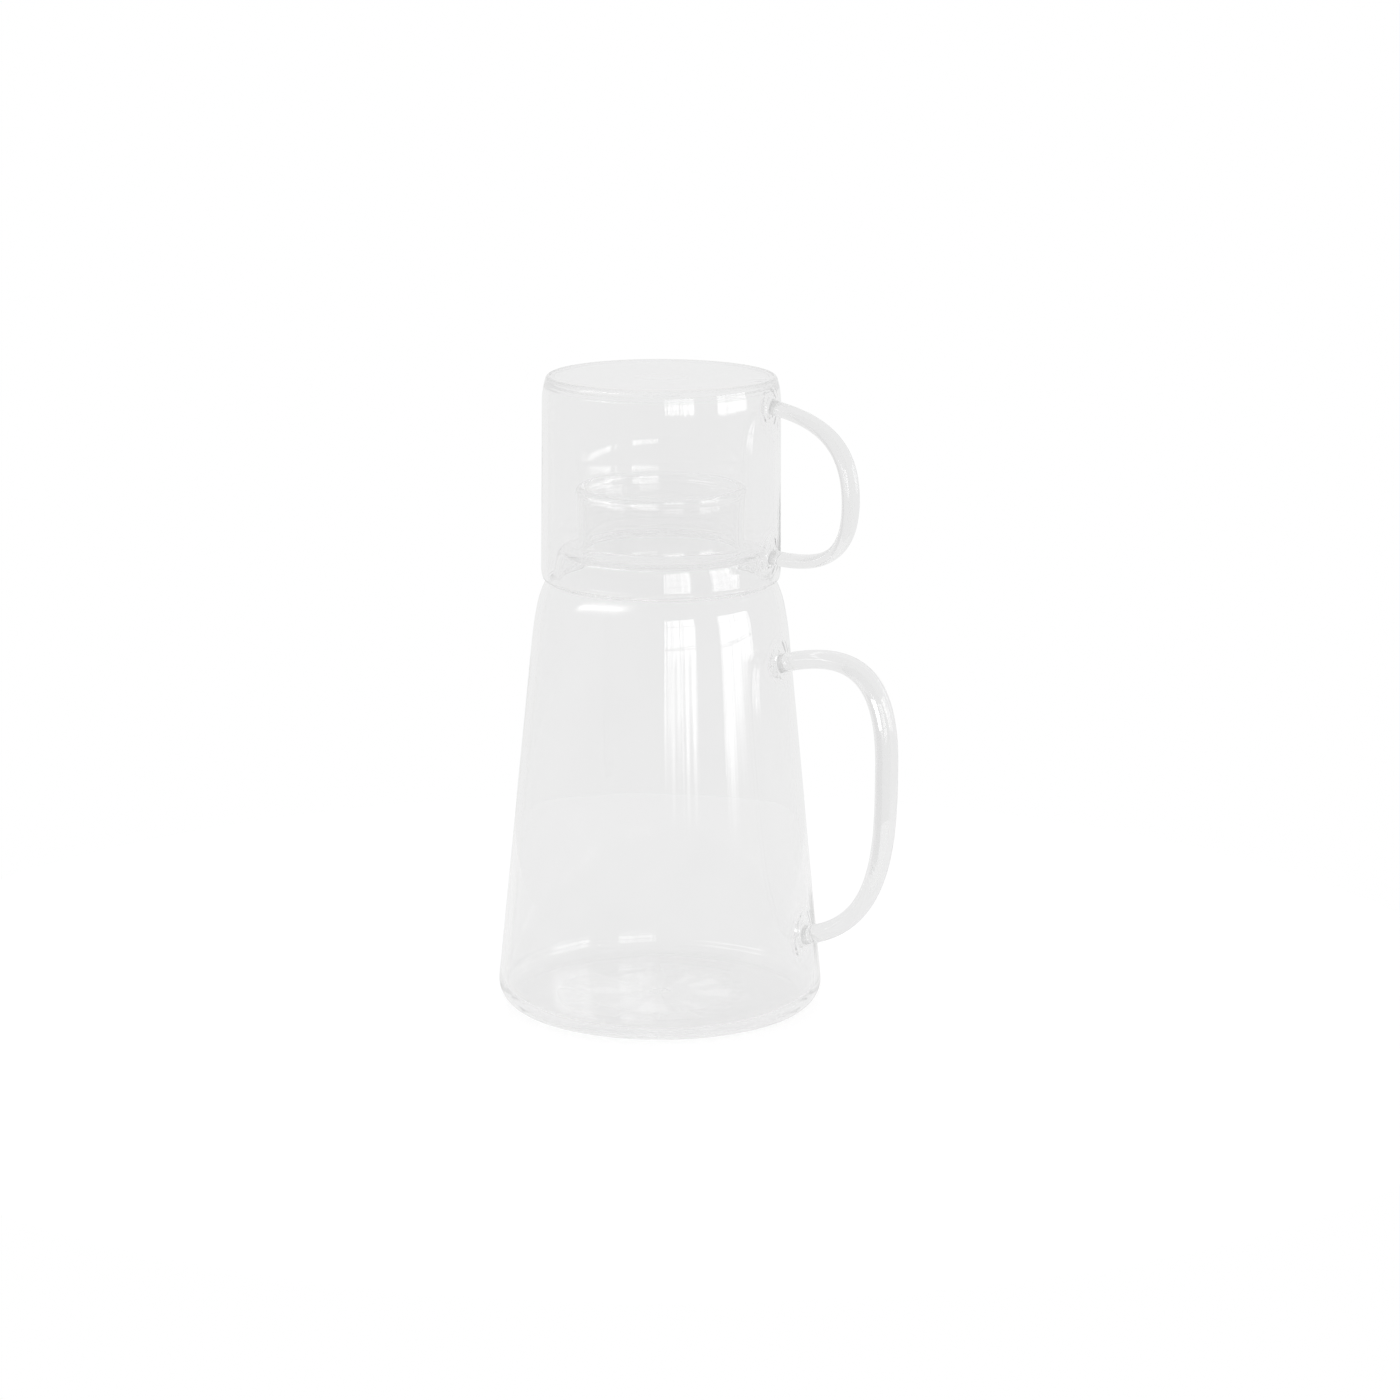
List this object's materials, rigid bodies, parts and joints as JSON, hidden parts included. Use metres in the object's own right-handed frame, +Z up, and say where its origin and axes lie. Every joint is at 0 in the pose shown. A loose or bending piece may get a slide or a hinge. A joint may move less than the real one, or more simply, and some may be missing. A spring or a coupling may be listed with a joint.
{
  "type": "glass carafe with tumbler",
  "caption": "Clear glass carafe with a fused glass side handle, closed by an upturned glass tumbler with its own handle that lifts off the neck.",
  "frame": {"origin": "where the carafe's axis meets the surface that it stands on", "axes": "+Z up along the axis of both vessels, +X out through both handles"},
  "size_m": [0.1402, 0.1102, 0.2161],
  "materials": {
    "carafe_glass": "clear blown borosilicate, fire polished",
    "tumbler_glass": "clear blown borosilicate, fire polished"
  },
  "bodies": {
    "carafe": {"carafe_body": "carafe_glass", "carafe_handle": "carafe_glass"},
    "tumbler": {"tumbler_body": "tumbler_glass", "tumbler_handle": "tumbler_glass"}
  },
  "joints": [
    {"name": "tumbler_lift", "type": "slide", "parent": "carafe", "child": "tumbler", "axis": [0, 0, 1], "range_m": [0, 0.06]}
  ]
}
